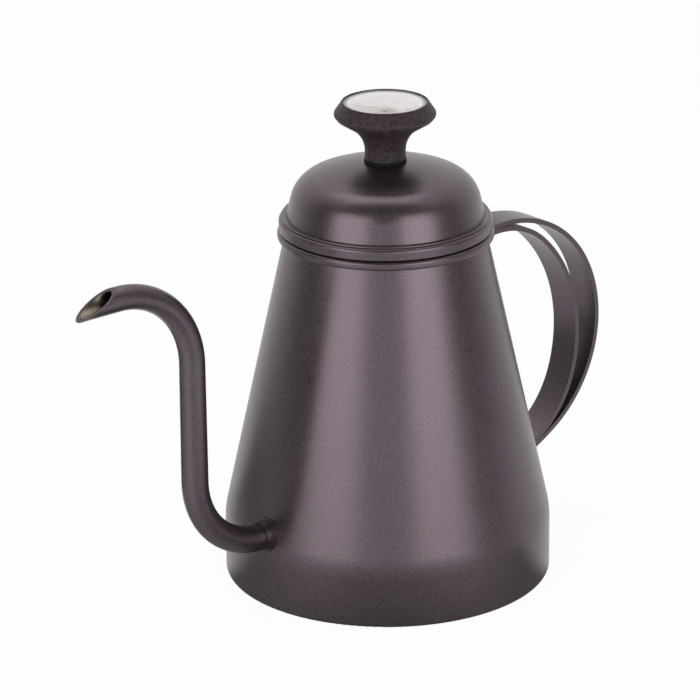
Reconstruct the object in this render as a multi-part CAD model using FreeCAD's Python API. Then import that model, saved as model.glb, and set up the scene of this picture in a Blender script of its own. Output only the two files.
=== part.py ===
# Gooseneck kettle with a thermometer in the lid's knob.
# Millimetres. The origin is the centre of the base's underside, +Z is up,
# the spout points along -X and the handle along +X.
import math
import os
import FreeCAD
import Part

V = FreeCAD.Vector
Z_AXIS = V(0, 0, 1)
TINY = 0.01

# Driving sizes of the body
base_d = 130.0
sheet = 1.0
neck_r = 40.2
neck_z = 137.3
waist_z = 24.5
waist_blend = 37.0
body_top_z = 138.7

# Mouth ring
ring_stand = 2.6
ring_h = 3.5
ring_lap = 0.5
ring_round = 1.3

# Base
cap_h = 2.2
cap_round = 1.4
cap_sheet = 1.0
spreader_gap = 4.0
spreader_t = 2.6
floor_t = 1.0
floor_lip = 6.0
foot_recess_r = 48.0
foot_recess = 0.5

# Spout
spout_root_z = 29.9
spout_root_r = 5.45
spout_tip_r = 4.7
spout_wall = 0.8
spout_lead = 2.2
spout_low_bend = 31.6
spout_high_bend = 34.5
spout_top_z = 144.2
spout_cut_back = 1.4
spout_cut_angle = 28.5
sleeve_len = 3.2
sleeve_t = 0.6
saddle_r = 6.9
saddle_t = 0.9

# Handle straps
strap_w = 13.0
strap_t = 2.0
strap_z = 131.4
strap_rise = 6.8
strap_run = 10.4
outer_bow = 52.0
outer_turn = 154.0
outer_tail = 104.0
outer_tail_turn = 18.0
strap_bury = 2.6
inner_run = 8.9
inner_bow = 36.0
inner_turn = 49.0
inner_side = 60.5
inner_tuck = 42.0
strap_end_gap = 1.6

# Lid
lid_gap = 0.4
rim_set = 0.6
rim_h = 4.6
rim_sheet = 1.2
rim_lap = 0.2
ledge_set = 1.0
ledge_t = 0.9
dome_sheet = 0.9
dome_set = 2.8
dome_lean = 14.2
dome_shoulder_h = 8.0
dome_shoulder = 13.6
dome_crown = 80.0
dome_land_r = 9.0
collar_gap = 0.8
collar_t = 0.8
collar_drop = 14.0
collar_bead = 0.35

# Knob
stem_r = 8.0
seal_stand = 0.25
seal_t = 1.6
flare_r = 11.0
flare_start = 3.0
flare_rise = 9.5
head_stand = 3.9
head_edge_z = 5.2
head_under_set = 1.7
head_under_z = 3.2
head_top_z = 10.2
head_rim_t = 0.5
head_edge_round = 1.6
sleeve_shank_r = 5.0
sleeve_bore_r = 3.2
sleeve_flange_r = 8.0
sleeve_flange_t = 1.2
nut_flats = 15.0
nut_h = 4.0
washer_r = 9.0
washer_t = 0.8

# Thermometer
case_r = 16.4
case_wall = 0.7
case_floor = 1.0
spacer_t = 0.8
dial_t = 0.5
surround_h = 2.5
surround_w = 0.9
lens_t = 1.5
lens_rise = 0.25
probe_r = 2.0
probe_wall = 0.35
probe_tip_z = 40.0
tip_h = 4.0
shaft_r = 0.5
shaft_drop = 30.0
shaft_fit = 0.05
bush_h = 4.0
pointer_len = 12.0
pointer_tail = 4.0
pointer_w = 1.2
pointer_t = 0.4
pointer_hub_r = 1.5
pointer_gap = 0.6
pointer_rest = 40.0

# Clearance between round pieces that are fixed to each other
snug = 0.03

# Radii that follow from the driving sizes
base_r = base_d / 2.0
spreader_r = base_r - sheet - spreader_gap
lean_tan = (base_r - neck_r) / (neck_z - waist_z)
cone_lean = math.atan(lean_tan)


def put(shape, name):
    shape.exportStep(os.path.join("parts", name + ".step"))


def p3(point):
    return V(point[0], 0, point[1])


def corner(a, b, c, radius):
    """Points where a rounded corner at b leaves and meets the sides, and its middle."""
    pa, pb, pc = p3(a), p3(b), p3(c)
    u = (pa - pb).normalize()
    v = (pc - pb).normalize()
    half = u.getAngle(v) / 2.0
    reach = radius / math.tan(half)
    bisector = (u + v).normalize()
    middle = pb + bisector * (radius / math.sin(half) - radius)
    return pb + u * reach, middle, pb + v * reach


def outline(points):
    """Closed face in the XZ plane; a point's third value rounds its corner."""
    edges = []
    ends = []
    count = len(points)
    for i, point in enumerate(points):
        if len(point) > 2:
            before = points[i - 1]
            after = points[(i + 1) % count]
            ends.append(corner(before, point, after, point[2]))
        else:
            ends.append((p3(point), None, p3(point)))
    for i, (start, middle, end) in enumerate(ends):
        if middle is not None:
            edges.append(Part.Arc(start, middle, end).toShape())
        following = ends[(i + 1) % count][0]
        if end.distanceToPoint(following) > 1e-6:
            edges.append(Part.makeLine(end, following))
    return Part.Face(Part.Wire(Part.__sortEdges__(edges)))


def turned(points):
    return outline(points).revolve(V(0, 0, 0), Z_AXIS, 360)


def tube(r_out, r_in, z_low, z_high):
    return turned([(r_in, z_low), (r_out, z_low), (r_out, z_high), (r_in, z_high)])


def cone_r(z):
    """Outside radius of the straight cone at a height."""
    return neck_r + (neck_z - z) * lean_tan


top_r = cone_r(body_top_z)
ring_r = top_r + ring_stand
ring_bore = top_r - sheet - ring_lap
collar_r = ring_bore - collar_gap
rim_r = ring_r - rim_set
rim_inner_r = collar_r - collar_t - rim_lap
ledge_r = rim_r - ledge_set
dome_foot_r = rim_r - dome_set
head_r = case_r + head_stand
head_under_r = head_r - head_under_set
head_rim_r = case_r + head_rim_t
seal_r = stem_r + seal_stand
spout_wall_x = cone_r(spout_root_z)
spout_straight_x = spout_wall_x + spout_lead
spout_cut_x = spout_straight_x + spout_low_bend + spout_high_bend + spout_cut_back

# Heights that follow from the driving sizes
floor_z = cap_sheet + spreader_t
ring_z = body_top_z + ring_h
rim_z = ring_z + lid_gap
ledge_z = rim_z + rim_h


def body_solid(offset, z_low, z_high):
    """Solid inside the body's outside surface moved outward by an offset."""
    shift = offset / math.cos(cone_lean)
    r = base_r + offset
    z_bend = neck_z + (neck_r + shift - r) / lean_tan
    points = [(0, z_low), (r, z_low), (r, z_bend, waist_blend + offset)]
    points += [(cone_r(z_high) + shift, z_high), (0, z_high)]
    return turned(points)


# Body


def make_body_shell():
    outside = body_solid(0, cap_h, body_top_z)
    inside = body_solid(-sheet, cap_h - TINY, body_top_z + TINY)
    hole = Part.makeCylinder(spout_root_r + snug, base_r, V(-base_r / 2.0, 0, spout_root_z), V(-1, 0, 0))
    return outside.cut(inside).cut(hole)


def make_base_cap():
    points = [(0, foot_recess), (foot_recess_r, foot_recess, 0.4), (foot_recess_r + 1.0, 0, 0.4)]
    points += [(base_r, 0, cap_round), (base_r, cap_h), (base_r - sheet, cap_h)]
    points += [(base_r - sheet, cap_sheet, 0.3), (0, cap_sheet)]
    return turned(points)


def make_heat_spreader():
    points = [(0, cap_sheet), (spreader_r, cap_sheet), (spreader_r, floor_z, 0.5), (0, floor_z)]
    return turned(points)


def make_base_floor():
    r = base_r - sheet - snug
    points = [(0, floor_z), (r, floor_z, 2.0), (r, floor_z + floor_lip)]
    points += [(r - floor_t, floor_z + floor_lip), (r - floor_t, floor_z + floor_t, 1.0)]
    points += [(0, floor_z + floor_t)]
    return turned(points)


def make_mouth_ring():
    points = [(ring_bore, body_top_z), (ring_r, body_top_z, ring_round), (ring_r, ring_z, ring_round)]
    points += [(ring_bore, ring_z, 0.6)]
    return turned(points)


# Spout, with its line in the XZ plane


def spout_line(x_end):
    rise_x = spout_straight_x + spout_low_bend
    low_end_z = spout_root_z + spout_low_bend
    high_z = spout_top_z - spout_high_bend
    top_x = rise_x + spout_high_bend
    s = math.sin(math.pi / 4.0)
    start = V(-(spout_wall_x - sheet - spout_wall), 0, spout_root_z)
    a = V(-spout_straight_x, 0, spout_root_z)
    low_mid = V(-(spout_straight_x + spout_low_bend * s), 0, low_end_z - spout_low_bend * s)
    b = V(-rise_x, 0, low_end_z)
    c = V(-rise_x, 0, high_z)
    high_mid = V(-(top_x - spout_high_bend * s), 0, high_z + spout_high_bend * s)
    d = V(-top_x, 0, spout_top_z)
    e = V(-x_end, 0, spout_top_z)
    edges = [Part.makeLine(start, a), Part.Arc(a, low_mid, b).toShape(), Part.makeLine(b, c)]
    edges += [Part.Arc(c, high_mid, d).toShape(), Part.makeLine(d, e)]
    return Part.Wire(edges), start, e


def tapered_pipe(line, start, end, r_start, r_end):
    first = Part.Wire(Part.makeCircle(r_start, start, V(-1, 0, 0)))
    last = Part.Wire(Part.makeCircle(r_end, end, V(-1, 0, 0)))
    pipe = Part.BRepOffsetAPI.MakePipeShell(line)
    pipe.setFrenetMode(True)
    pipe.add(first)
    pipe.add(last)
    pipe.build()
    pipe.makeSolid()
    return pipe.shape()


def make_spout_tube():
    cut_run = 2.2 * spout_tip_r / math.tan(math.radians(spout_cut_angle))
    line, start, end = spout_line(spout_cut_x + cut_run + 2.0)
    outside = tapered_pipe(line, start, end, spout_root_r, spout_tip_r)
    inside = tapered_pipe(line, start, end, spout_root_r - spout_wall, spout_tip_r - spout_wall)
    pipe = outside.cut(inside)
    size = 4 * cut_run
    cutter = Part.makeBox(size, size, size, V(-size, -size / 2.0, 0))
    cutter.rotate(V(0, 0, 0), V(0, 1, 0), -spout_cut_angle)
    cutter.translate(V(-spout_cut_x, 0, spout_top_z + spout_tip_r))
    return pipe.cut(cutter)


def make_spout_sleeve():
    r_in = spout_root_r + snug
    r_out = spout_root_r + sleeve_t
    sleeve = Part.makeCylinder(r_out, 2 * base_r, V(0, 0, spout_root_z), V(-1, 0, 0))
    end = spout_wall_x + sleeve_len
    sleeve = sleeve.common(Part.makeBox(base_r, base_r, base_r, V(-end, -base_r / 2.0, 0)))
    bore = Part.makeCylinder(r_in, 2 * base_r, V(0, 0, spout_root_z), V(-1, 0, 0))
    return sleeve.cut(bore).cut(body_solid(saddle_t, 0, body_top_z))


def make_spout_saddle():
    r_in = spout_root_r + snug
    disc = Part.makeCylinder(saddle_r, 2 * base_r, V(0, 0, spout_root_z), V(-1, 0, 0))
    bore = Part.makeCylinder(r_in, 2 * base_r, V(0, 0, spout_root_z), V(-1, 0, 0))
    skin = body_solid(saddle_t, 0, body_top_z).cut(body_solid(0, 0, body_top_z + TINY))
    return skin.common(disc).cut(bore)


# Handle straps, drawn in the XZ plane as lines and arcs that turn downward


def follow(start, heading, moves):
    """Arc centres and ends along a line that turns clockwise; a move is (radius, turn) or (length,)."""
    steps = []
    x, z = start
    a = math.radians(heading)
    for move in moves:
        if len(move) == 1:
            end = (x + move[0] * math.cos(a), z + move[0] * math.sin(a))
            steps.append(("line", (x, z), end, a, a))
        else:
            radius, turn = move
            centre = (x + radius * math.sin(a), z - radius * math.cos(a))
            b = a - math.radians(turn)
            end = (centre[0] - radius * math.sin(b), centre[1] + radius * math.cos(b))
            steps.append(("arc", centre, radius, a, b))
            a = b
        x, z = end
    return steps


def strap_face(steps, offset):
    """Edges of one face of a strap, moved inward from the drawn line by an offset."""
    edges = []
    for step in steps:
        if step[0] == "line":
            a = step[3]
            shift = (offset * math.sin(a), -offset * math.cos(a))
            start = (step[1][0] + shift[0], step[1][1] + shift[1])
            end = (step[2][0] + shift[0], step[2][1] + shift[1])
            edges.append(Part.makeLine(p3(start), p3(end)))
        else:
            centre, radius, a, b = step[1], step[2] - offset, step[3], step[4]
            points = []
            for angle in (a, (a + b) / 2.0, b):
                points.append(V(centre[0] - radius * math.sin(angle), 0, centre[1] + radius * math.cos(angle)))
            edges.append(Part.Arc(points[0], points[1], points[2]).toShape())
    return edges


def strap(steps):
    over = strap_face(steps, 0)
    under = strap_face(steps, strap_t)
    first = Part.makeLine(over[0].valueAt(over[0].FirstParameter), under[0].valueAt(under[0].FirstParameter))
    last = Part.makeLine(over[-1].valueAt(over[-1].LastParameter), under[-1].valueAt(under[-1].LastParameter))
    face = Part.Face(Part.Wire(Part.__sortEdges__(over + under + [first, last])))
    face.translate(V(0, -strap_w / 2.0, 0))
    return face.extrude(V(0, strap_w, 0))


def strap_start(depth):
    """Start of a strap face inside the body's wall."""
    a = math.radians(strap_rise)
    x = neck_r - sheet
    return (x + depth * math.sin(a), strap_z - depth * math.cos(a))


def outer_steps():
    lead = strap_run + strap_bury
    return follow(strap_start(0), strap_rise, [(lead,), (outer_bow, outer_turn), (outer_tail, outer_tail_turn)])


def circles_meet(c1, r1, c2, r2):
    """The meeting point of two circles with the greater x."""
    dx, dz = c2[0] - c1[0], c2[1] - c1[1]
    d = math.hypot(dx, dz)
    along = (r1 * r1 - r2 * r2 + d * d) / (2 * d)
    side = math.sqrt(r1 * r1 - along * along)
    one = (c1[0] + along * dx / d - side * dz / d, c1[1] + along * dz / d + side * dx / d)
    two = (c1[0] + along * dx / d + side * dz / d, c1[1] + along * dz / d - side * dx / d)
    return max(one, two)


def inner_steps():
    """The inner strap leaves the outer one, bows down and comes to lie on its tail again."""
    tail = outer_steps()[-1]
    lead = inner_run + strap_bury
    steps = follow(strap_start(strap_t), strap_rise, [(lead,), (inner_bow, inner_turn), (inner_side, 90.0)])
    side = steps[-1]
    tail_r = tail[2] - strap_t
    tuck = circles_meet(side[1], inner_side - inner_tuck, tail[1], tail_r - inner_tuck)
    b = math.atan2(side[1][0] - tuck[0], tuck[1] - side[1][1])
    b = side[3] - (side[3] - b) % (2 * math.pi)
    c = math.atan2(tail[1][0] - tuck[0], tuck[1] - tail[1][1])
    c = b - (b - c) % (2 * math.pi)
    steps[-1] = ("arc", side[1], inner_side, side[3], b)
    steps.append(("arc", tuck, inner_tuck, b, c))
    steps.append(("arc", tail[1], tail_r, c, tail[4]))
    return steps


def make_outer_strap():
    return strap(outer_steps()).cut(body_solid(0, 0, body_top_z))


def make_inner_strap():
    return strap(inner_steps()).cut(body_solid(strap_end_gap, 0, body_top_z))


# Lid


def dome_points(offset):
    """Foot, shoulder start, middle and end of the dome's curve, moved inward by an offset."""
    lean = math.radians(dome_lean)
    rise = ledge_z + dome_shoulder_h
    x = dome_foot_r - dome_shoulder_h * math.tan(lean)
    cx = x - dome_shoulder * math.cos(lean)
    cz = rise - dome_shoulder * math.sin(lean)
    tilt = math.asin(cx / (dome_crown - dome_shoulder))
    crown_z = cz - (dome_crown - dome_shoulder) * math.cos(tilt)
    r = dome_shoulder - offset
    big = dome_crown - offset
    foot = (dome_foot_r - offset / math.cos(lean), ledge_z)
    first = (cx + r * math.cos(lean), cz + r * math.sin(lean))
    middle_angle = (lean + math.pi / 2.0 - tilt) / 2.0
    middle = (cx + r * math.cos(middle_angle), cz + r * math.sin(middle_angle))
    second = (cx + r * math.sin(tilt), cz + r * math.cos(tilt))
    land = math.asin(dome_land_r / dome_crown)
    half = (tilt + land) / 2.0
    crown = (big * math.sin(half), crown_z + big * math.cos(half))
    rim = (big * math.sin(land), crown_z + big * math.cos(land))
    return foot, first, middle, second, crown, rim


land_z = dome_points(0)[5][1]
seal_z = land_z + seal_t
flare_z = seal_z + flare_start
stem_top_z = flare_z + flare_rise
case_z = stem_top_z + 3.6
dial_z = case_z + case_floor + spacer_t
lens_z = dial_z + dial_t + surround_h


def make_lid_dome():
    out = dome_points(0)
    ins = dome_points(dome_sheet)
    hole = sleeve_shank_r + 0.1
    edges = []
    top = p3((hole, out[5][1]))
    low = p3((hole, ins[5][1]))
    edges.append(Part.makeLine(top, p3(out[5])))
    edges.append(Part.Arc(p3(out[5]), p3(out[4]), p3(out[3])).toShape())
    edges.append(Part.Arc(p3(out[3]), p3(out[2]), p3(out[1])).toShape())
    ledge_top = ledge_z + ledge_t
    wall_x = out[0][0] - ledge_t * math.tan(math.radians(dome_lean))
    edges.append(Part.makeLine(p3(out[1]), p3((wall_x, ledge_top))))
    edges.append(Part.makeLine(p3((wall_x, ledge_top)), p3((ledge_r - ledge_t / 2.0, ledge_top))))
    edges.append(Part.Arc(p3((ledge_r - ledge_t / 2.0, ledge_top)), p3((ledge_r, ledge_z + ledge_t / 2.0)),
                          p3((ledge_r - ledge_t / 2.0, ledge_z))).toShape())
    edges.append(Part.makeLine(p3((ledge_r - ledge_t / 2.0, ledge_z)), p3(ins[0])))
    edges.append(Part.makeLine(p3(ins[0]), p3(ins[1])))
    edges.append(Part.Arc(p3(ins[1]), p3(ins[2]), p3(ins[3])).toShape())
    edges.append(Part.Arc(p3(ins[3]), p3(ins[4]), p3(ins[5])).toShape())
    edges.append(Part.makeLine(p3(ins[5]), low))
    edges.append(Part.makeLine(low, top))
    face = Part.Face(Part.Wire(edges))
    return face.revolve(V(0, 0, 0), Z_AXIS, 360)


def make_lid_rim():
    inner = rim_r - rim_sheet
    points = [(rim_inner_r, ledge_z - rim_sheet), (inner, ledge_z - rim_sheet, 0.4), (inner, rim_z)]
    points += [(rim_r, rim_z, 0.5), (rim_r, ledge_z, 1.4), (rim_inner_r, ledge_z)]
    return turned(points)


def make_lid_collar():
    top = ledge_z - rim_sheet
    low = top - collar_drop - rim_h
    inner = collar_r - collar_t
    bead = low + 5.0
    points = [(inner, low, 0.3), (collar_r, low, 0.3), (collar_r, bead - 1.6, 0.6)]
    points += [(collar_r + collar_bead, bead, 1.2), (collar_r, bead + 1.6, 0.6), (collar_r, top), (inner, top)]
    return turned(points)


# Knob


def make_knob_seal():
    points = [(sleeve_shank_r + snug, land_z), (seal_r, land_z), (seal_r, seal_z, 0.4)]
    points += [(sleeve_shank_r + snug, seal_z)]
    return turned(points)


def make_knob_stem():
    bore = sleeve_shank_r + snug
    rise = flare_rise / flare_r
    swing = math.asin(rise)
    top_r = stem_r + flare_r * (1 - math.cos(swing))
    mid = (stem_r + flare_r * (1 - math.cos(swing / 2.0)), flare_z + flare_r * math.sin(swing / 2.0))
    a = (bore, seal_z)
    b = (stem_r, seal_z)
    c = (stem_r, flare_z)
    d = (top_r, stem_top_z)
    e = (bore, stem_top_z)
    edges = [Part.makeLine(p3(a), p3(b)), Part.makeLine(p3(b), p3(c))]
    edges.append(Part.Arc(p3(c), p3(mid), p3(d)).toShape())
    edges += [Part.makeLine(p3(d), p3(e)), Part.makeLine(p3(e), p3(a))]
    return Part.Face(Part.Wire(edges)).revolve(V(0, 0, 0), Z_AXIS, 360)


def make_knob_head():
    swing = math.asin(flare_rise / flare_r)
    neck = stem_r + flare_r * (1 - math.cos(swing))
    z = stem_top_z
    bore = sleeve_shank_r + snug
    recess = case_r + snug
    seat = case_z - sleeve_flange_t
    points = [(bore, z), (neck, z), (head_under_r, z + head_under_z, 1.5)]
    points += [(head_r, z + head_edge_z, head_edge_round), (head_rim_r, z + head_top_z, 0.2)]
    points += [(recess, z + head_top_z), (recess, case_z), (sleeve_flange_r + snug, case_z)]
    points += [(sleeve_flange_r + snug, seat), (bore, seat)]
    return turned(points)


def make_fixing_sleeve():
    seat = case_z - sleeve_flange_t
    low = land_z - dome_sheet - washer_t - nut_h - 2.0
    points = [(sleeve_bore_r, low), (sleeve_shank_r, low, 0.5), (sleeve_shank_r, seat)]
    points += [(sleeve_flange_r, seat), (sleeve_flange_r, case_z), (sleeve_bore_r, case_z)]
    return turned(points)


def under_land_z():
    return dome_points(dome_sheet)[5][1]


def make_lid_washer():
    top = under_land_z()
    return tube(washer_r - 0.6, sleeve_shank_r + snug, top - washer_t, top)


def make_lid_nut():
    top = under_land_z() - washer_t
    across = nut_flats / math.sqrt(3.0)
    corners = []
    for i in range(7):
        a = math.radians(60 * i)
        corners.append(V(across * math.cos(a), across * math.sin(a), top - nut_h))
    hexagon = Part.Face(Part.makePolygon(corners)).extrude(V(0, 0, nut_h))
    slope = nut_h + across - nut_flats / 2.0
    chamfer = [(0, top - nut_h), (nut_flats / 2.0 + 0.1, top - nut_h), (across + 0.2, top - nut_h + slope * 0.2)]
    chamfer += [(across + 0.2, top), (0, top)]
    nut = hexagon.common(turned(chamfer))
    return nut.cut(Part.makeCylinder(sleeve_shank_r + snug, nut_h, V(0, 0, top - nut_h)))


# Thermometer


def make_thermometer_case():
    top = lens_z
    inner = case_r - case_wall
    points = [(probe_r + snug, case_z), (case_r, case_z), (case_r, top), (inner, top)]
    points += [(inner, case_z + case_floor), (probe_r + snug, case_z + case_floor)]
    return turned(points)


def make_dial_spacer():
    inner = case_r - case_wall - snug
    return tube(inner, inner - 2.0, case_z + case_floor, dial_z)


def make_dial_plate():
    inner = case_r - case_wall - snug
    return tube(inner, shaft_r + 0.5, dial_z, dial_z + dial_t)


def make_dial_surround():
    outer = case_r - case_wall - snug
    inner = outer - surround_w
    low = dial_z + dial_t
    points = [(inner - 0.5, low), (outer, low), (outer, lens_z), (inner, lens_z)]
    return turned(points)


def make_lens():
    r = case_r - snug
    top = lens_z + lens_t
    ball = (r * r + lens_rise * lens_rise) / (2 * lens_rise)
    half = math.asin(r / ball) / 2.0
    mid = V(ball * math.sin(half), 0, top + lens_rise - ball * (1 - math.cos(half)))
    edges = [Part.makeLine(p3((0, lens_z)), p3((r, lens_z))), Part.makeLine(p3((r, lens_z)), p3((r, top)))]
    edges.append(Part.Arc(p3((r, top)), mid, p3((0, top + lens_rise))).toShape())
    edges.append(Part.makeLine(p3((0, top + lens_rise)), p3((0, lens_z))))
    return Part.Face(Part.Wire(edges)).revolve(V(0, 0, 0), Z_AXIS, 360)


def make_pointer():
    """A tapered blade with a round hub and a short tail, turned to where it rests."""
    low = dial_z + dial_t + pointer_gap
    hub = Part.makeCylinder(pointer_hub_r, pointer_t * 2.0, V(0, 0, low))
    tip = V(0, pointer_len, low)
    tail_w = pointer_w * 0.9
    corners = [tip + V(0.15, 0, 0), V(pointer_w / 2.0, 0, low), V(tail_w, -pointer_tail, low)]
    corners += [V(-tail_w, -pointer_tail, low), V(-pointer_w / 2.0, 0, low), tip - V(0.15, 0, 0)]
    blade = Part.Face(Part.makePolygon(corners + [corners[0]])).extrude(V(0, 0, pointer_t))
    bore = Part.makeCylinder(shaft_r, 4 * pointer_t, V(0, 0, low - pointer_t))
    pointer = hub.fuse(blade).removeSplitter().cut(bore)
    pointer.rotate(V(0, 0, 0), Z_AXIS, pointer_rest)
    return pointer


def make_pointer_shaft():
    top = dial_z + dial_t + pointer_gap + pointer_t * 2.0
    return Part.makeCylinder(shaft_r, top - (case_z - shaft_drop), V(0, 0, case_z - shaft_drop))


def make_shaft_bush():
    z = case_z + case_floor - bush_h
    return tube(probe_r - probe_wall - snug, shaft_r + shaft_fit, z, z + bush_h)


def make_probe_tube():
    return tube(probe_r, probe_r - probe_wall, probe_tip_z + tip_h, case_z + case_floor)


def make_probe_tip():
    r_in = probe_r - probe_wall - snug
    shoulder = probe_tip_z + tip_h
    points = [(0, probe_tip_z), (probe_r, probe_tip_z, 1.6), (probe_r, shoulder), (r_in, shoulder)]
    points += [(r_in, shoulder + 3.0), (0, shoulder + 3.0)]
    return turned(points)


makers = {
    "body_shell": make_body_shell,
    "base_cap": make_base_cap,
    "heat_spreader": make_heat_spreader,
    "base_floor": make_base_floor,
    "mouth_ring": make_mouth_ring,
    "spout_tube": make_spout_tube,
    "spout_sleeve": make_spout_sleeve,
    "spout_saddle": make_spout_saddle,
    "handle_outer_strap": make_outer_strap,
    "handle_inner_strap": make_inner_strap,
    "lid_dome": make_lid_dome,
    "lid_rim": make_lid_rim,
    "lid_collar": make_lid_collar,
    "lid_washer": make_lid_washer,
    "lid_nut": make_lid_nut,
    "knob_seal": make_knob_seal,
    "knob_stem": make_knob_stem,
    "knob_head": make_knob_head,
    "fixing_sleeve": make_fixing_sleeve,
    "thermometer_case": make_thermometer_case,
    "dial_spacer": make_dial_spacer,
    "dial_plate": make_dial_plate,
    "dial_surround": make_dial_surround,
    "lens": make_lens,
    "pointer": make_pointer,
    "pointer_shaft": make_pointer_shaft,
    "shaft_bush": make_shaft_bush,
    "probe_tube": make_probe_tube,
    "probe_tip": make_probe_tip,
}

os.makedirs("parts", exist_ok=True)
for part_name, make in makers.items():
    put(make(), part_name)
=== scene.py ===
import math
from collections import namedtuple

import bmesh
import bpy
from bpy.props import FloatProperty, FloatVectorProperty, IntProperty, PointerProperty
from mathutils import Matrix, Vector


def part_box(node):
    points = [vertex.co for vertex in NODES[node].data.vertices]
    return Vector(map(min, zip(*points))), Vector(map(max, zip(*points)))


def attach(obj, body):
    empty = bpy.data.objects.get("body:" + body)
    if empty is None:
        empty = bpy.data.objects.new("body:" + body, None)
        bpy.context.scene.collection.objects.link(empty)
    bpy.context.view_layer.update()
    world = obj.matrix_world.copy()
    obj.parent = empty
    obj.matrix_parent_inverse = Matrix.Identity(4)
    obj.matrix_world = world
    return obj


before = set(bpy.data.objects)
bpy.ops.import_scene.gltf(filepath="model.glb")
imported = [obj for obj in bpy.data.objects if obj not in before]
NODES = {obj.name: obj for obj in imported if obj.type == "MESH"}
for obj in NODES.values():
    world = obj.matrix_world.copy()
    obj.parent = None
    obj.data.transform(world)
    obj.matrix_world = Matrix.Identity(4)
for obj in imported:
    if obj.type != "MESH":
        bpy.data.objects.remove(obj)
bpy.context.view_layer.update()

bl_info = {
    "name": "Gooseneck kettle finishes",
    "version": (1, 0, 0),
    "blender": (4, 5, 0),
    "location": "3D View > Sidebar > Kettle",
    "description": "Coating, knob, thermometer dial, spout lining and studio of a gooseneck kettle",
    "category": "Object",
}

MM = 0.001
WHITE = (1, 1, 1, 1)

# Nodes by finish
COATED = ("mouth_ring", "base_cap", "spout_tube", "spout_sleeve", "spout_saddle", "handle_outer_strap",
          "handle_inner_strap", "lid_rim")
COATED_HOLLOW = ("body_shell", "lid_dome")
KNOB = ("knob_stem", "knob_head")
BRIGHT = ("lid_collar", "lid_washer", "lid_nut", "thermometer_case", "probe_tube", "probe_tip",
          "pointer_shaft")
BASE = ("base_floor",)
TURNED_BRASS = ("fixing_sleeve", "shaft_bush")
WHITE_RINGS = ("dial_surround", "dial_spacer")

# Grainy finishes: speckles and patches in a metre, roughness and how far it swings, speckle strength,
# share of metal, bump strength and level of gloss
Grain = namedtuple("Grain", "scale patch roughness swing contrast metallic bump gloss")
KNOB_GRAIN = Grain(700.0, 150.0, 0.55, 0.3, 0.8, 0.0, 0.8, 0.28)
SEAL_GRAIN = Grain(1200.0, 80.0, 0.7, 0.1, 0.2, 0.0, 0.2, 0.12)
DIAL_GRAIN = Grain(700.0, 60.0, 0.45, 0.08, 0.03, 0.0, 0.0, 0.5)
RING_GRAIN = Grain(900.0, 60.0, 0.4, 0.08, 0.03, 0.0, 0.0, 0.5)
POINTER_GRAIN = Grain(1500.0, 90.0, 0.35, 0.1, 0.08, 0.0, 0.0, 0.5)
INK_GRAIN = Grain(2500.0, 200.0, 0.6, 0.1, 0.12, 0.0, 0.0, 0.5)
COAT_PATCH = 45.0
COAT_SWING = 0.12
COAT_BUMP = 0.12
COAT_GLOSS = 0.5
GRAIN_SHARE = 0.92
PATCH_SHARE = 0.08
BUMP_DEPTH = 0.05 * MM

# Noises: detail and roughness, then the span of each that becomes 0 to 1
GRAIN_NOISE = (3.0, 0.6)
PATCH_NOISE = (3.0, 0.55)
LINE_NOISE = (2.0, 0.6)
CLOUD_NOISE = (2.0, 0.5)
GRAIN_SPAN = (0.3, 0.7)
PATCH_SPAN = (0.35, 0.65)
LINE_SPAN = (0.3, 0.7)
NOISE_MIDDLE = 0.5

# Turned finishes: roughness, lines in a metre and bump strength
Lathe = namedtuple("Lathe", "roughness lines bump")
BASE_LATHE = Lathe(0.36, 1500.0, 0.2)
BRIGHT_LATHE = Lathe(0.24, 3200.0, 0.1)
SPREADER_LATHE = Lathe(0.45, 900.0, 0.1)
BRASS_LATHE = Lathe(0.28, 2600.0, 0.1)
LINING_LATHE = Lathe(0.34, 1800.0, 0.1)
LATHE_TONES = (0.82, 1.12)
LATHE_CLOUDS = 60.0
LATHE_SWING = 0.2
INSIDE_ROUGHNESS = 0.34
INSIDE_LINES = 1800.0
INSIDE_TONES = (0.85, 1.1)
INSIDE_MIDDLE_Z = 90 * MM
INSIDE_EDGE = 0.02

# Clear cover
GLASS_IOR = 1.45
GLASS_TINT = (0.96, 0.96, 0.96, 1)
GLASS_GRAIN = 300.0
GLASS_PATCH = 50.0
GLASS_ROUGHNESS = 0.03

# Print on the dial
PRINT_LIFT = 0.01 * MM
MARK_T = 0.05 * MM
MAIN_EVERY = 5
MAIN_MARK = (2.2 * MM, 0.16 * MM)
SMALL_MARK = (1.2 * MM, 0.09 * MM)
NUMBER_STEPS = 5
NUMBER_STEP = 20
NUMBER_HALF_T = 0.025 * MM
NUMBER_LIFT = 0.03 * MM

# Lining of the spout
LINING_SIDES = 64
LINING_T = 0.12 * MM
LINING_BACK = 0.25 * MM
LINING_END = 1.0 * MM
LINING_TURN = math.radians(60)
LINING_STEPS = 8

# Stage: floor and lamps. A tall softbox has its turn in degrees from the camera's side, and its width
FLOOR_HALF = 4.0
FLOOR_COLOR = (0.96, 0.96, 0.96, 1)
FLOOR_GLOW = 0.95
LAMP_COLOR = (1.0, 0.985, 0.94)
SOFTBOXES = (("softbox_left", -42, 0.66), ("softbox_right", 38, 0.6))
SOFTBOX_H = 0.76
SOFTBOX_DISTANCE = 0.9
SOFTBOX_Z = 0.4
TOP_LAMP_SIZE = (1.0, 1.0)
TOP_LAMP_PLACE = Vector((0.1, 0.25, 1.3))
TOP_LAMP_AIM = Vector((0, 0, 0.1))

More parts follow.
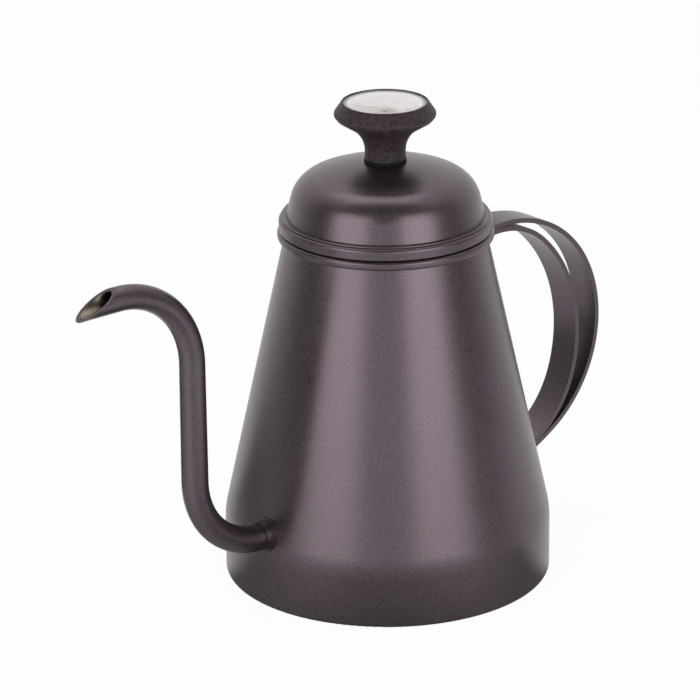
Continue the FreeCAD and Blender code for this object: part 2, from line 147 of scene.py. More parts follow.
# Stage: cards that only the gloss sees, with turns in degrees from the camera's side. A ramp of four
# numbers leads from two values to two tones
SIDE_STEPS = 12
SIDE_FADE = (-0.5, 0.05)
FLOOR_CARD_TURN = 88
FLOOR_CARD_STEPS = 30
FLOOR_CARD_Z = 0.3 * MM
FLOOR_CARD_RADII = (0.0637, 0.1, 0.2, 0.35, 0.7)
FLOOR_NEAR = 0.066
FLOOR_WHITE = 0.95
FLOOR_MIDDLE = (0.8, 1.0, 1.25, 0.8)
FLOOR_SIDES = (0.1, 0.72, 0.55, 1.25)
FLOOR_ENDS = (0.05, 0.34, 0.95, 0.0)

# Stage: cards of one tone, as name, first and last turn, steps, and the distance and height of each edge
EVEN_CARDS = (("flag_top", -70, 70, 14, ((0.8, 0.72), (0.8, 0.88), (0.06, 1.0))),
              ("flag_front", -16, 16, 4, ((0.8, 0.4), (0.8, 0.88))),
              ("flag_back", -122, -90, 8, ((0.16, FLOOR_CARD_Z), (0.45, FLOOR_CARD_Z))))

# Stage: camera
SENSOR_WIDTH = 36.0
CLIP_END = 20.0

# What a surface group gives
SURFACE_OUTPUTS = (("Color", "NodeSocketColor"), ("Roughness", "NodeSocketFloat"),
                   ("Height", "NodeSocketFloat"))

# Sockets of a Mix node by its kind of data: factor, first, second and result
MIX_SOCKETS = {"RGBA": (0, 6, 7, 2), "FLOAT": (0, 2, 3, 0)}


# Node trees


def new_node(tree, kind, **settings):
    node = tree.nodes.new(kind)
    for key, value in settings.items():
        setattr(node, key, value)
    return node


def link(tree, source, target):
    tree.links.new(source, target)


def enter(tree, socket, setting):
    """Links a socket to another one, or sets its value."""
    if isinstance(setting, bpy.types.NodeSocket):
        link(tree, setting, socket)
    else:
        socket.default_value = setting


def start_group(name, inputs, outputs):
    """An empty shader group with named sockets; gives the tree, its input node and its output node."""
    tree = bpy.data.node_groups.new(name, "ShaderNodeTree")
    for label, kind, default in inputs:
        socket = tree.interface.new_socket(label, in_out="INPUT", socket_type=kind)
        socket.default_value = default
    for label, kind in outputs:
        tree.interface.new_socket(label, in_out="OUTPUT", socket_type=kind)
    return tree, new_node(tree, "NodeGroupInput"), new_node(tree, "NodeGroupOutput")


def noise(tree, vector, scale, detail, rough):
    node = new_node(tree, "ShaderNodeTexNoise")
    link(tree, vector, node.inputs["Vector"])
    enter(tree, node.inputs["Scale"], scale)
    node.inputs["Detail"].default_value = detail
    node.inputs["Roughness"].default_value = rough
    return node.outputs["Fac"]


def spread(tree, value, low, high, to_low=0.0, to_high=1.0):
    node = new_node(tree, "ShaderNodeMapRange")
    link(tree, value, node.inputs["Value"])
    for label, setting in (("From Min", low), ("From Max", high), ("To Min", to_low), ("To Max", to_high)):
        node.inputs[label].default_value = setting
    return node.outputs["Result"]


def blend(tree, kind, fac, first, second):
    """Mixes two colours or two values by a factor."""
    node = new_node(tree, "ShaderNodeMix", data_type=kind)
    *places, result = MIX_SOCKETS[kind]
    for place, setting in zip(places, (fac, first, second)):
        enter(tree, node.inputs[place], setting)
    return node.outputs[result]


def math_node(tree, operation, *settings):
    node = new_node(tree, "ShaderNodeMath", operation=operation)
    for socket, setting in zip(node.inputs, settings):
        enter(tree, socket, setting)
    return node.outputs[0]


def vector_math(tree, operation, first, second=None):
    node = new_node(tree, "ShaderNodeVectorMath", operation=operation)
    enter(tree, node.inputs[0], first)
    if second is not None:
        enter(tree, node.inputs[1], second)
    return node


def object_place(tree):
    return new_node(tree, "ShaderNodeTexCoord").outputs["Object"]


def speckle_group():
    """Fine grain of a sprayed or moulded surface: a colour, a roughness and a height."""
    name = "fine_speckle"
    if name in bpy.data.node_groups:
        return bpy.data.node_groups[name]
    inputs = [("Dark", "NodeSocketColor", (0.1, 0.1, 0.1, 1))]
    inputs += [("Light", "NodeSocketColor", (0.2, 0.2, 0.2, 1))]
    inputs += [("Grain", "NodeSocketFloat", 1500.0), ("Patch", "NodeSocketFloat", 40.0)]
    inputs += [("Roughness", "NodeSocketFloat", 0.4), ("Rough Swing", "NodeSocketFloat", 0.06)]
    tree, given, result = start_group(name, inputs, SURFACE_OUTPUTS)
    place = object_place(tree)
    grain = noise(tree, place, given.outputs["Grain"], *GRAIN_NOISE)
    patch = noise(tree, place, given.outputs["Patch"], *PATCH_NOISE)
    fine = math_node(tree, "MULTIPLY", spread(tree, grain, *GRAIN_SPAN), GRAIN_SHARE)
    broad = math_node(tree, "MULTIPLY", spread(tree, patch, *PATCH_SPAN), PATCH_SHARE)
    total = math_node(tree, "ADD", fine, broad)
    color = blend(tree, "RGBA", total, given.outputs["Dark"], given.outputs["Light"])
    centred = math_node(tree, "SUBTRACT", total, NOISE_MIDDLE)
    swing = math_node(tree, "MULTIPLY", centred, given.outputs["Rough Swing"])
    rough = math_node(tree, "ADD", given.outputs["Roughness"], swing)
    for source, socket in zip((color, rough, grain), result.inputs):
        link(tree, source, socket)
    return tree


def inside_group():
    """Mask of the faces that look at the kettle's middle, where the sheet is bare."""
    name = "bare_inside"
    if name in bpy.data.node_groups:
        return bpy.data.node_groups[name]
    inputs = [("Middle Height", "NodeSocketFloat", INSIDE_MIDDLE_Z)]
    tree, given, result = start_group(name, inputs, [("Mask", "NodeSocketFloat")])
    middle = new_node(tree, "ShaderNodeCombineXYZ")
    link(tree, given.outputs["Middle Height"], middle.inputs["Z"])
    out = vector_math(tree, "SUBTRACT", object_place(tree), middle.outputs[0])
    away = vector_math(tree, "NORMALIZE", out.outputs[0])
    normal = new_node(tree, "ShaderNodeNewGeometry").outputs["Normal"]
    facing = vector_math(tree, "DOT_PRODUCT", away.outputs[0], normal)
    mask = spread(tree, facing.outputs["Value"], -INSIDE_EDGE, INSIDE_EDGE, 1.0, 0.0)
    link(tree, mask, result.inputs["Mask"])
    return tree


def lathe_group():
    """Fine turned lines round the kettle's axis: a tone, a roughness and a height."""
    name = "turned_lines"
    if name in bpy.data.node_groups:
        return bpy.data.node_groups[name]
    inputs = [("Dark", "NodeSocketColor", (0.5, 0.5, 0.5, 1))]
    inputs += [("Light", "NodeSocketColor", (0.7, 0.7, 0.7, 1))]
    inputs += [("Lines", "NodeSocketFloat", 2500.0), ("Roughness", "NodeSocketFloat", 0.3)]
    tree, given, result = start_group(name, inputs, SURFACE_OUTPUTS)
    place = object_place(tree)
    parts = new_node(tree, "ShaderNodeSeparateXYZ")
    link(tree, place, parts.inputs[0])
    square_x = math_node(tree, "MULTIPLY", parts.outputs["X"], parts.outputs["X"])
    square_y = math_node(tree, "MULTIPLY", parts.outputs["Y"], parts.outputs["Y"])
    radius = math_node(tree, "SQRT", math_node(tree, "ADD", square_x, square_y))
    ring = new_node(tree, "ShaderNodeCombineXYZ")
    link(tree, radius, ring.inputs["X"])
    link(tree, parts.outputs["Z"], ring.inputs["Y"])
    lines = noise(tree, ring.outputs[0], given.outputs["Lines"], *LINE_NOISE)
    cloud = noise(tree, place, LATHE_CLOUDS, *CLOUD_NOISE)
    tone = spread(tree, lines, *LINE_SPAN)
    color = blend(tree, "RGBA", tone, given.outputs["Dark"], given.outputs["Light"])
    centred = math_node(tree, "SUBTRACT", cloud, NOISE_MIDDLE)
    swing = math_node(tree, "MULTIPLY", centred, LATHE_SWING)
    rough = math_node(tree, "ADD", given.outputs["Roughness"], swing)
    for source, socket in zip((color, rough, lines), result.inputs):
        link(tree, source, socket)
    return tree


# Materials


def empty_tree(owner):
    """Turns on the nodes of a material or a world, and clears them."""
    owner.use_nodes = True
    owner.node_tree.nodes.clear()
    return owner.node_tree


def show(tree, shader, out="ShaderNodeOutputMaterial"):
    link(tree, shader.outputs[0], new_node(tree, out).inputs["Surface"])


def mix_shaders(tree, fac, first, second):
    mix = new_node(tree, "ShaderNodeMixShader")
    for source, socket in zip((fac, first.outputs[0], second.outputs[0]), mix.inputs):
        link(tree, source, socket)
    return mix


def start_material(name):
    material = bpy.data.materials.new(name)
    tree = empty_tree(material)
    shader = new_node(tree, "ShaderNodeBsdfPrincipled")
    show(tree, shader)
    return material, tree, shader


def use_group(tree, group, **values):
    node = new_node(tree, "ShaderNodeGroup")
    node.node_tree = group
    for key, value in values.items():
        node.inputs[key.replace("_", " ")].default_value = value
    return node


def shade(color, amount):
    return (color[0] * amount, color[1] * amount, color[2] * amount, 1.0)


def paint(tree, shader, color, roughness):
    link(tree, color, shader.inputs["Base Color"])
    link(tree, roughness, shader.inputs["Roughness"])


def add_bump(tree, shader, height, strength):
    bump = new_node(tree, "ShaderNodeBump")
    bump.inputs["Strength"].default_value = strength
    bump.inputs["Distance"].default_value = BUMP_DEPTH
    link(tree, height, bump.inputs["Height"])
    link(tree, bump.outputs[0], shader.inputs["Normal"])


def use_grain(tree, color, grain):
    dark = shade(color, 1 - grain.contrast)
    light = shade(color, 1 + grain.contrast)
    return use_group(tree, speckle_group(), Dark=dark, Light=light, Grain=grain.scale, Patch=grain.patch,
                     Roughness=grain.roughness, Rough_Swing=grain.swing)


def use_lathe(tree, color, roughness, lines, tones):
    return use_group(tree, lathe_group(), Dark=shade(color, tones[0]), Light=shade(color, tones[1]),
                     Lines=lines, Roughness=roughness)


def grained_material(name, color, grain):
    material, tree, shader = start_material(name)
    grainy = use_grain(tree, color, grain)
    paint(tree, shader, grainy.outputs["Color"], grainy.outputs["Roughness"])
    shader.inputs["Metallic"].default_value = grain.metallic
    shader.inputs["Specular IOR Level"].default_value = grain.gloss
    if grain.bump:
        add_bump(tree, shader, grainy.outputs["Height"], grain.bump)
    return material


def coat_grain(finish):
    return Grain(finish.grain, COAT_PATCH, finish.roughness, COAT_SWING, finish.contrast, finish.metal,
                 COAT_BUMP, COAT_GLOSS)


def hollow_material(name, finish):
    """Satin speckled coating outside and bare turned steel inside."""
    material, tree, shader = start_material(name)
    grain = coat_grain(finish)
    coat = use_grain(tree, finish.color, grain)
    bare = use_lathe(tree, finish.bare, INSIDE_ROUGHNESS, INSIDE_LINES, INSIDE_TONES)
    mask = use_group(tree, inside_group(), Middle_Height=INSIDE_MIDDLE_Z).outputs["Mask"]
    color = blend(tree, "RGBA", mask, coat.outputs["Color"], bare.outputs["Color"])
    rough = blend(tree, "FLOAT", mask, coat.outputs["Roughness"], bare.outputs["Roughness"])
    paint(tree, shader, color, rough)
    link(tree, blend(tree, "FLOAT", mask, grain.metallic, 1.0), shader.inputs["Metallic"])
    add_bump(tree, shader, coat.outputs["Height"], grain.bump)
    return material


def turned_material(name, color, lathe):
    material, tree, shader = start_material(name)
    turned = use_lathe(tree, color, lathe.roughness, lathe.lines, LATHE_TONES)
    paint(tree, shader, turned.outputs["Color"], turned.outputs["Roughness"])
    shader.inputs["Metallic"].default_value = 1.0
    add_bump(tree, shader, turned.outputs["Height"], lathe.bump)
    return material


def dress(names, material):
    for name in names:
        for held in NODES[name].material_slots:
            held.link = "OBJECT"
            held.material = material


# Objects


def add_object(name, data):
    added = bpy.data.objects.new(name, data)
    bpy.context.scene.collection.objects.link(added)
    return added


def mesh_piece(name, build, material, body, smooth=True):
    """A new piece on a body, with its shape from a function that fills a bmesh."""
    shape = bmesh.new()
    build(shape)
    bmesh.ops.recalc_face_normals(shape, faces=shape.faces)
    mesh = bpy.data.meshes.new(name)
    shape.to_mesh(mesh)
    shape.free()
    for face in mesh.polygons:
        face.use_smooth = smooth
    mesh.materials.append(material)
    piece = add_object(name, mesh)
    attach(piece, body)


def join_rings(shape, rings, closed_loop=False):
    """Quads between rows of vertices that are each a closed ring."""
    pairs = list(zip(rings, rings[1:]))
    if closed_loop:
        pairs.append((rings[-1], rings[0]))
    for first, second in pairs:
        count = len(first)
        for i in range(count):
            j = (i + 1) % count
            shape.faces.new((first[i], first[j], second[j], second[i]))


# Settings


class KettleCoating(bpy.types.PropertyGroup):
    color: FloatVectorProperty(name="Coating", description="Colour of the satin coating", subtype="COLOR",
                               size=3, min=0, max=1, default=(0.112, 0.0885, 0.105))
    bare: FloatVectorProperty(name="Bare steel", description="Colour of the uncoated inside",
                              subtype="COLOR", size=3, min=0, max=1, default=(0.62, 0.61, 0.6))
    roughness: FloatProperty(name="Roughness", description="Roughness of the coating",
                             default=0.33, min=0, max=1)
    metal: FloatProperty(name="Metallic", description="Share of metal in the coating",
                         default=0.92, min=0, max=1)
    contrast: FloatProperty(name="Speckle", description="Strength of the speckle",
                            default=0.24, min=0, max=1)
    grain: FloatProperty(name="Speckle scale", description="Speckles in a metre", default=1400.0, min=10)


class KettleMetals(bpy.types.PropertyGroup):
    base_tone: FloatProperty(name="Base tone", description="Tone of the floor pan beside the bare steel",
                             default=0.9, min=0, max=1)
    aluminium: FloatVectorProperty(name="Aluminium", description="Colour of the heat spreader",
                                   subtype="COLOR", size=3, min=0, max=1, default=(0.72, 0.72, 0.73))
    brass: FloatVectorProperty(name="Brass", description="Colour of the turned brass", subtype="COLOR",
                               size=3, min=0, max=1, default=(0.72, 0.54, 0.28))


class KettleKnob(bpy.types.PropertyGroup):
    color: FloatVectorProperty(name="Knob", description="Colour of the knob's plastic", subtype="COLOR",
                               size=3, min=0, max=1, default=(0.034, 0.0215, 0.028))
    roughness: FloatProperty(name="Roughness", description="Roughness of the plastic",
                             default=KNOB_GRAIN.roughness, min=0, max=1)
    seal: FloatVectorProperty(name="Seal", description="Colour of the black washer", subtype="COLOR",
                              size=3, min=0, max=1, default=(0.008, 0.008, 0.009))


class KettleDial(bpy.types.PropertyGroup):
    plate: FloatVectorProperty(name="Plate", description="Colour of the dial", subtype="COLOR",
                               size=3, min=0, max=1, default=(0.58, 0.52, 0.54))
    rings: FloatVectorProperty(name="Rings", description="Colour of the white rings", subtype="COLOR",
                               size=3, min=0, max=1, default=(0.86, 0.83, 0.84))
    ink: FloatVectorProperty(name="Ink", description="Colour of the marks and numbers", subtype="COLOR",
                             size=3, min=0, max=1, default=(0.42, 0.38, 0.39))
    pointer: FloatVectorProperty(name="Pointer", description="Colour of the pointer", subtype="COLOR",
                                 size=3, min=0, max=1, default=(0.5, 0.42, 0.36))
    top_turn: FloatProperty(name="Top of the dial",
                            description="Turn of the dial's top from the handle's side",
                            default=math.radians(49), subtype="ANGLE", unit="ROTATION")
    sweep: FloatProperty(name="Sweep", description="Turn from the lowest to the highest mark",
                         default=math.radians(270), subtype="ANGLE", unit="ROTATION")
    marks: IntProperty(name="Marks", description="Small steps on the scale", default=50, min=5)
    mark_r: FloatProperty(name="Mark radius", description="Outer radius of the marks", default=13.6 * MM,
                          subtype="DISTANCE", unit="LENGTH")
    number_r: FloatProperty(name="Number radius", description="Radius of the numbers' middle",
                            default=9.3 * MM, subtype="DISTANCE", unit="LENGTH")
    number_h: FloatProperty(name="Number height", description="Height of the numbers", default=2.3 * MM,
                            subtype="DISTANCE", unit="LENGTH")


class KettleSpout(bpy.types.PropertyGroup):
    # The lining's colour is warm steel darkened far below the bare steel elsewhere: painted shade inside
    # the spout's mouth
    lining: FloatVectorProperty(name="Lining", description="Colour of the bare lining", subtype="COLOR",
                                size=3, min=0, max=1, default=(0.16, 0.13, 0.11))
    rise_x: FloatProperty(name="Rise", description="Distance of the upright run from the axis",
                          default=97.6 * MM, subtype="DISTANCE", unit="LENGTH")
    bend: FloatProperty(name="Bend", description="Radius of the upper bend", default=34.5 * MM,
                        subtype="DISTANCE", unit="LENGTH")
    top_z: FloatProperty(name="Top", description="Height of the level run's middle", default=144.2 * MM,
                         subtype="DISTANCE", unit="LENGTH")
    tip_r: FloatProperty(name="Tip radius", description="Outside radius at the mouth", default=4.7 * MM,
                         subtype="DISTANCE", unit="LENGTH")
    bore_r: FloatProperty(name="Lining radius", description="Outside radius of the bare lining",
                          default=3.84 * MM, subtype="DISTANCE", unit="LENGTH")
    cut_x: FloatProperty(name="Cut", description="Distance of the cut's top from the axis",
                         default=133.5 * MM, subtype="DISTANCE", unit="LENGTH")
    cut_turn: FloatProperty(name="Cut slope", description="Slope of the slanted mouth",
                            default=math.radians(28.5), subtype="ANGLE", unit="ROTATION")


class KettleStage(bpy.types.PropertyGroup):
    azimuth: FloatProperty(name="Azimuth", description="Side that the camera looks from",
                           default=math.radians(-41), subtype="ANGLE", unit="ROTATION")
    elevation: FloatProperty(name="Elevation", description="Camera's height above the horizon",
                             default=math.radians(20.466), subtype="ANGLE", unit="ROTATION")
    distance: FloatProperty(name="Distance", description="Distance from the camera to its target",
                            default=1.5824, subtype="DISTANCE", unit="LENGTH")
    target_z: FloatProperty(name="Target", description="Height that the camera aims at", default=0.09119,
                            subtype="DISTANCE", unit="LENGTH")
    pan: FloatProperty(name="Pan", description="Turn of the camera to the side",
                       default=math.radians(0.522), subtype="ANGLE", unit="ROTATION")
    roll: FloatProperty(name="Roll", description="Turn of the camera about its own line of sight",
                        default=math.radians(-0.35), subtype="ANGLE", unit="ROTATION")
    lens: FloatProperty(name="Focal length", description="Camera's focal length in millimetres",
                        default=205.8)
    front_light: FloatProperty(name="Front light", description="Power of each tall softbox in watts",
                               default=3.0)
    top_light: FloatProperty(name="Top light", description="Power of the softbox overhead in watts",
                             default=4.0)
    ambient: FloatProperty(name="Ambient", description="Strength of the room's light", default=0.45)
    flag_tone: FloatProperty(name="Flags", description="Brightness of the grey flags in the gloss",
                             default=0.14)
    right_tone: FloatProperty(name="Right flag", description="Brightness of the right flag", default=0.28)
    flag_start: FloatProperty(name="Flag start",
                              description="Turn from the camera to a side flag's front edge",
                              default=math.radians(64), subtype="ANGLE", unit="ROTATION")
    flag_end: FloatProperty(name="Flag end",
                            description="Turn from the camera to a side flag's back edge",
                            default=math.radians(140), subtype="ANGLE", unit="ROTATION")
    flag_r: FloatProperty(name="Flag distance", description="Distance of the side flags", default=0.75,
                          subtype="DISTANCE", unit="LENGTH")
    flag_h: FloatProperty(name="Flag height", description="Height of the side flags", default=0.9,
                          subtype="DISTANCE", unit="LENGTH")
    floor_tone: FloatProperty(name="Floor",
                              description="Brightness of the floor in the gloss beside the base",
                              default=0.33)
    floor_far: FloatProperty(name="Floor reach",
                             description="Distance at which the floor is white in the gloss",
                             default=0.2, subtype="DISTANCE", unit="LENGTH")


SETTINGS = (("kettle_coating", KettleCoating), ("kettle_metals", KettleMetals), ("kettle_knob", KettleKnob),
            ("kettle_dial", KettleDial), ("kettle_spout", KettleSpout), ("kettle_stage", KettleStage))


# Operators


class KETTLE_OT_coating(bpy.types.Operator):
    """Gives the body, spout, straps and lid their speckled coating"""
    bl_idname = "kettle.coating"
    bl_label = "Coat the kettle"

    def execute(self, context):
        finish = context.scene.kettle_coating
        dress(COATED, grained_material("satin_coating", finish.color, coat_grain(finish)))
        dress(COATED_HOLLOW, hollow_material("satin_coating_outside", finish))
        return {"FINISHED"}


class KETTLE_OT_metals(bpy.types.Operator):
    """Gives the base, the fittings and the bushes their bare metals"""
    bl_idname = "kettle.metals"
    bl_label = "Finish the bare metals"

    def execute(self, context):
        bare = context.scene.kettle_coating.bare
        metals = context.scene.kettle_metals
        dress(BASE, turned_material("brushed_base", shade(bare, metals.base_tone), BASE_LATHE))
        dress(BRIGHT, turned_material("bright_steel", bare, BRIGHT_LATHE))
        dress(("heat_spreader",), turned_material("spreader_aluminium", metals.aluminium, SPREADER_LATHE))
        dress(TURNED_BRASS, turned_material("turned_brass", metals.brass, BRASS_LATHE))
        return {"FINISHED"}


class KETTLE_OT_knob(bpy.types.Operator):
    """Gives the knob its matte plastic and the washer its rubber"""
    bl_idname = "kettle.knob"
    bl_label = "Finish the knob"

    def execute(self, context):
        knob = context.scene.kettle_knob
        grain = KNOB_GRAIN._replace(roughness=knob.roughness)
        dress(KNOB, grained_material("knob_plastic", knob.color, grain))
        dress(("knob_seal",), grained_material("seal_rubber", knob.seal, SEAL_GRAIN))
        return {"FINISHED"}


class KETTLE_OT_dial(bpy.types.Operator):
    """Prints the scale and numbers on the dial and finishes dial, rings, pointer and lens"""
    bl_idname = "kettle.dial"
    bl_label = "Print the dial"

    def execute(self, context):
        dial = context.scene.kettle_dial
        dress(("dial_plate",), grained_material("dial_enamel", dial.plate, DIAL_GRAIN))
        dress(WHITE_RINGS, grained_material("ring_white", dial.rings, RING_GRAIN))
        dress(("pointer",), grained_material("pointer_enamel", dial.pointer, POINTER_GRAIN))
        dress(("lens",), self.glass())
        NODES["lens"].visible_shadow = False
        ink = grained_material("dial_ink", dial.ink, INK_GRAIN)
        print_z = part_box("dial_plate")[1][2] + PRINT_LIFT
        self.print_marks(dial, ink, print_z)
        self.print_numbers(dial, ink, print_z)
        return {"FINISHED"}

    @staticmethod
    def glass():
        material, tree, shader = start_material("lens_glass")
        smear = use_group(tree, speckle_group(), Dark=GLASS_TINT, Light=WHITE, Grain=GLASS_GRAIN,
                          Patch=GLASS_PATCH, Roughness=GLASS_ROUGHNESS, Rough_Swing=GLASS_ROUGHNESS)
        paint(tree, shader, smear.outputs["Color"], smear.outputs["Roughness"])
        shader.inputs["IOR"].default_value = GLASS_IOR
        shader.inputs["Transmission Weight"].default_value = 1.0
        return material

    @staticmethod
    def mark_turn(dial, share):
        """Direction of a place on the scale, from 0 at the lowest mark to 1 at the highest."""
        return dial.top_turn + dial.sweep / 2 - dial.sweep * share

    def print_marks(self, dial, ink, print_z):
        def build(shape):
            for step in range(dial.marks + 1):
                length, half = MAIN_MARK if step % MAIN_EVERY == 0 else SMALL_MARK
                angle = self.mark_turn(dial, step / dial.marks)
                out = Vector((math.cos(angle), math.sin(angle), 0))
                side = Vector((-out.y, out.x, 0)) * half
                near = Vector((0, 0, print_z)) + out * (dial.mark_r - length)
                far = Vector((0, 0, print_z)) + out * dial.mark_r
                corners = (far - side, far + side, near + side, near - side)
                low = [shape.verts.new(corner) for corner in corners]
                high = [shape.verts.new(corner + Vector((0, 0, MARK_T))) for corner in corners]
                shape.faces.new(low)
                shape.faces.new(high)
                join_rings(shape, [low, high])

        mesh_piece("dial_marks", build, ink, "lid", smooth=False)

    def print_numbers(self, dial, ink, print_z):
        upright = Matrix.Rotation(dial.top_turn - math.pi / 2, 4, "Z")
        for step in range(NUMBER_STEPS + 1):
            angle = self.mark_turn(dial, step / NUMBER_STEPS)
            text = bpy.data.curves.new("dial_number_%d" % (step * NUMBER_STEP), "FONT")
            text.body = str(step * NUMBER_STEP)
            text.size = dial.number_h
            text.align_x = "CENTER"
            text.align_y = "CENTER"
            text.extrude = NUMBER_HALF_T
            text.materials.append(ink)
            piece = add_object(text.name, text)
            out = Vector((math.cos(angle), math.sin(angle), 0)) * dial.number_r
            spot = out + Vector((0, 0, print_z + NUMBER_LIFT))
            piece.matrix_world = Matrix.Translation(spot) @ upright
            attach(piece, "lid")


class KETTLE_OT_spout_lining(bpy.types.Operator):
    """Lines the spout's mouth with bare steel inside the coated tube; its colour is darkened far below the
    other bare steel as painted shade inside the mouth
    """
    bl_idname = "kettle.spout_lining"
    bl_label = "Line the spout's mouth"

    def execute(self, context):
        spout = context.scene.kettle_spout
        # The lining's dark colour is painted shade inside the spout's mouth
        metal = turned_material("spout_steel_painted_shade", spout.lining, LINING_LATHE)
        slope = 1.0 / math.tan(spout.cut_turn)

        def ring(shape, spot, along, radius, to_cut):
            verts = []
            side = Vector((0, 1, 0))
            up = along.cross(side)
            for i in range(LINING_SIDES):
                turn = 2 * math.pi * i / LINING_SIDES
                point = spot + side * (radius * math.cos(turn)) + up * (radius * math.sin(turn))
                if to_cut:
                    drop = spout.top_z + spout.tip_r - point.z
                    point.x = LINING_BACK - spout.cut_x - drop * slope
                verts.append(shape.verts.new(point))
            return verts

        def build(shape):
            outer, inner = [], []
            inside_r = spout.bore_r - LINING_T
            top_x = spout.rise_x + spout.bend
            for step in range(LINING_STEPS + 1):
                turn = LINING_TURN * (1 - step / LINING_STEPS)
                x = spout.bend * math.sin(turn) - top_x
                z = spout.top_z - spout.bend * (1 - math.cos(turn))
                along = Vector((-math.cos(turn), 0, math.sin(turn)))
                outer.append(ring(shape, Vector((x, 0, z)), along, spout.bore_r, False))
                inner.append(ring(shape, Vector((x, 0, z)), along, inside_r, False))
            end = Vector((-top_x - LINING_END, 0, spout.top_z))
            outer.append(ring(shape, end, Vector((-1, 0, 0)), spout.bore_r, True))
            inner.append(ring(shape, end, Vector((-1, 0, 0)), inside_r, True))
            join_rings(shape, outer + inner[::-1], closed_loop=True)

        mesh_piece("spout_lining", build, metal, "kettle")
        return {"FINISHED"}


class KETTLE_OT_stage(bpy.types.Operator):
    """Sets the pale floor, the softboxes, the white room, the grey cards and the camera"""
    bl_idname = "kettle.stage"
    bl_label = "Set the stage"

    def execute(self, context):
        scene = context.scene
        stage = scene.kettle_stage
        scene.view_settings.view_transform = "Standard"
        self.room(scene, stage)
        self.floor()
        for name, turn, width in SOFTBOXES:
            self.softbox(name, stage, math.radians(turn), width)
        self.lamp("softbox_top", TOP_LAMP_SIZE, stage.top_light, TOP_LAMP_PLACE, TOP_LAMP_AIM)
        self.side_flags(stage)
        self.floor_flag(stage)
        self.even_flags(stage)
        self.camera(scene, stage)
        return {"FINISHED"}

    @staticmethod
    def seen(tree):
        """One for rays that show the background: from the camera, in gloss and through glass."""
        path = new_node(tree, "ShaderNodeLightPath")
        both = math_node(tree, "ADD", path.outputs["Is Camera Ray"], path.outputs["Is Glossy Ray"])
        total = math_node(tree, "ADD", both, path.outputs["Is Transmission Ray"])
        return math_node(tree, "MINIMUM", total, 1.0)

    def room(self, scene, stage):
        scene.world = bpy.data.worlds.new("white_room")
        tree = empty_tree(scene.world)
        seen = new_node(tree, "ShaderNodeBackground")
        seen.inputs["Color"].default_value = WHITE
        lit = new_node(tree, "ShaderNodeBackground")
        lit.inputs["Color"].default_value = WHITE
        lit.inputs["Strength"].default_value = stage.ambient
        show(tree, mix_shaders(tree, self.seen(tree), lit, seen), "ShaderNodeOutputWorld")

    def floor(self):
        material = bpy.data.materials.new("pale_floor")
        tree = empty_tree(material)
        lit = new_node(tree, "ShaderNodeBsdfDiffuse")
        lit.inputs["Color"].default_value = FLOOR_COLOR
        glow = new_node(tree, "ShaderNodeEmission")
        glow.inputs["Color"].default_value = WHITE
        share = math_node(tree, "MULTIPLY", self.seen(tree), FLOOR_GLOW)
        show(tree, mix_shaders(tree, share, lit, glow))
        mesh = bpy.data.meshes.new("floor")
        half = FLOOR_HALF
        corners = [(-half, -half, 0), (half, -half, 0), (half, half, 0), (-half, half, 0)]
        mesh.from_pydata(corners, [], [(0, 1, 2, 3)])
        mesh.materials.append(material)
        floor = add_object("floor", mesh)

    @staticmethod
    def lamp(name, size, power, spot, target):
        light = bpy.data.lights.new(name, "AREA")
        light.shape = "RECTANGLE"
        light.size, light.size_y = size
        light.energy = power
        light.color = LAMP_COLOR
        lamp = add_object(name, light)
        lamp.location = spot
        lamp.rotation_euler = (target - spot).to_track_quat("-Z", "Y").to_euler()

    def softbox(self, name, stage, turn, width):
        side = stage.azimuth + turn
        spot = Vector((math.sin(side) * SOFTBOX_DISTANCE, -math.cos(side) * SOFTBOX_DISTANCE, SOFTBOX_Z))
        self.lamp(name, (width, SOFTBOX_H), stage.front_light, spot, Vector((0, 0, SOFTBOX_Z)))

    @staticmethod
    def card(name, rows, tone, stage):
        """A glowing card that only the gloss sees, from rows of points as turn, distance and height."""
        material = bpy.data.materials.new(name)
        tree = empty_tree(material)
        glow = new_node(tree, "ShaderNodeEmission")
        glow.inputs["Color"].default_value = WHITE
        enter(tree, glow.inputs["Strength"], tone(tree))
        show(tree, glow)
        points = []
        faces = []
        count = len(rows[0])
        for row in rows:
            for turn, distance, z in row:
                points.append((math.sin(turn) * distance, -math.cos(turn) * distance, z))
        for start in range(0, count * (len(rows) - 1), count):
            for i in range(start, start + count - 1):
                faces.append((i, i + 1, i + 1 + count, i + count))
        mesh = bpy.data.meshes.new(name)
        mesh.from_pydata(points, [], faces)
        mesh.materials.append(material)
        card = add_object(name, mesh)
        card.rotation_euler.z = stage.azimuth
        card.visible_camera = False
        card.visible_diffuse = False
        card.visible_shadow = False
        card.visible_transmission = False

    @staticmethod
    def fan(low, high, steps):
        return [low + (high - low) * i / steps for i in range(steps + 1)]

    @staticmethod
    def frontness(tree):
        """Cosine of the turn from the camera's side, and the distance from the kettle's axis."""
        place = object_place(tree)
        level = vector_math(tree, "MULTIPLY", place, (1, 1, 0))
        reach = vector_math(tree, "LENGTH", level.outputs[0]).outputs["Value"]
        parts = new_node(tree, "ShaderNodeSeparateXYZ")
        link(tree, place, parts.inputs[0])
        toward = math_node(tree, "MULTIPLY", parts.outputs["Y"], -1.0)
        return math_node(tree, "DIVIDE", toward, reach), reach

    def side_tone(self, dark):
        """Tone of a side card: dark beside the kettle and white at the back."""
        def tone(tree):
            front, _ = self.frontness(tree)
            return spread(tree, front, *SIDE_FADE, 1.0, dark)

        return tone

    def side_flags(self, stage):
        """A card at each side that fades to white toward the back."""
        for name, way, dark in (("flag_left", -1, stage.flag_tone), ("flag_right", 1, stage.right_tone)):
            turns = [way * turn for turn in self.fan(stage.flag_start, stage.flag_end, SIDE_STEPS)]
            rows = [[(turn, stage.flag_r, z) for turn in turns] for z in (0.0, stage.flag_h)]
            self.card(name, rows, self.side_tone(dark), stage)

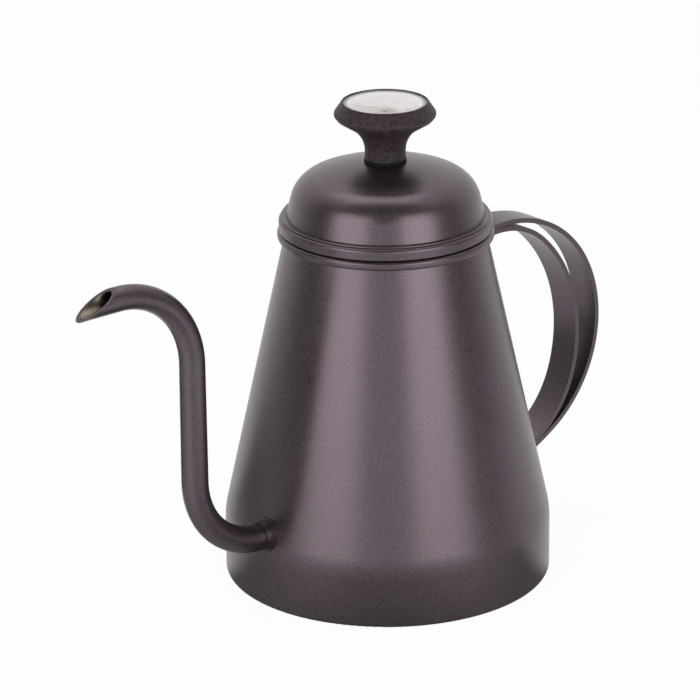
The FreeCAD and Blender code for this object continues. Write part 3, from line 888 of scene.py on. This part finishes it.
    def floor_flag(self, stage):
        """A card on the floor, dark beside the base, that fades to white outward and at its ends."""
        def tone(tree):
            front, reach = self.frontness(tree)
            outward = spread(tree, reach, FLOOR_NEAR, stage.floor_far, stage.floor_tone, FLOOR_WHITE)
            middle = spread(tree, front, *FLOOR_MIDDLE)
            sides = spread(tree, front, *FLOOR_SIDES)
            shaded = math_node(tree, "MULTIPLY", outward, math_node(tree, "MINIMUM", middle, sides))
            return math_node(tree, "MAXIMUM", shaded, spread(tree, front, *FLOOR_ENDS))

        widest = math.radians(FLOOR_CARD_TURN)
        turns = self.fan(-widest, widest, FLOOR_CARD_STEPS)
        rows = [[(turn, r, FLOOR_CARD_Z) for turn in turns] for r in FLOOR_CARD_RADII]
        self.card("flag_floor", rows, tone, stage)

    def even_flags(self, stage):
        """Cards of one tone: overhead, high in front, and on the floor behind for the straps."""
        for name, low, high, steps, edges in EVEN_CARDS:
            turns = self.fan(math.radians(low), math.radians(high), steps)
            rows = [[(turn, r, z) for turn in turns] for r, z in edges]
            self.card(name, rows, lambda tree: stage.flag_tone, stage)

    @staticmethod
    def camera(scene, stage):
        rise = stage.elevation
        right = Vector((1, 0, 0))
        ahead = Vector((0, math.cos(rise), -math.sin(rise)))
        up = Vector((0, math.sin(rise), math.cos(rise)))
        right, ahead = (right * math.cos(stage.pan) + ahead * math.sin(stage.pan),
                        ahead * math.cos(stage.pan) - right * math.sin(stage.pan))
        right, up = (right * math.cos(stage.roll) + up * math.sin(stage.roll),
                     up * math.cos(stage.roll) - right * math.sin(stage.roll))
        back = stage.distance * math.cos(rise)
        spot = Vector((0, -back, stage.target_z + stage.distance * math.sin(rise)))
        place = Matrix.Identity(4)
        for column, vector in enumerate((right, up, -ahead, spot)):
            for row in range(3):
                place[row][column] = vector[row]
        data = bpy.data.cameras.new("camera")
        data.lens = stage.lens
        data.sensor_width = SENSOR_WIDTH
        data.clip_end = CLIP_END
        camera = add_object("camera", data)
        camera.matrix_world = Matrix.Rotation(stage.azimuth, 4, "Z") @ place
        scene.camera = camera


OPERATORS = (KETTLE_OT_coating, KETTLE_OT_metals, KETTLE_OT_knob, KETTLE_OT_dial, KETTLE_OT_spout_lining,
             KETTLE_OT_stage)


class KETTLE_PT_panel(bpy.types.Panel):
    """Lists the kettle's steps in the sidebar"""
    bl_label = "Kettle"
    bl_idname = "KETTLE_PT_panel"
    bl_space_type = "VIEW_3D"
    bl_region_type = "UI"
    bl_category = "Kettle"

    def draw(self, context):
        for operator in OPERATORS:
            self.layout.operator(operator.bl_idname)


def register():
    for name, group in SETTINGS:
        bpy.utils.register_class(group)
        setattr(bpy.types.Scene, name, PointerProperty(type=group))
    for operator in OPERATORS:
        bpy.utils.register_class(operator)
    bpy.utils.register_class(KETTLE_PT_panel)


def unregister():
    bpy.utils.unregister_class(KETTLE_PT_panel)
    for operator in reversed(OPERATORS):
        bpy.utils.unregister_class(operator)
    for name, group in reversed(SETTINGS):
        delattr(bpy.types.Scene, name)
        bpy.utils.unregister_class(group)


def main():
    register()
    bpy.ops.kettle.coating()
    bpy.ops.kettle.metals()
    bpy.ops.kettle.knob()
    bpy.ops.kettle.dial()
    bpy.ops.kettle.spout_lining()
    bpy.ops.kettle.stage()


if __name__ == "__main__":
    main()
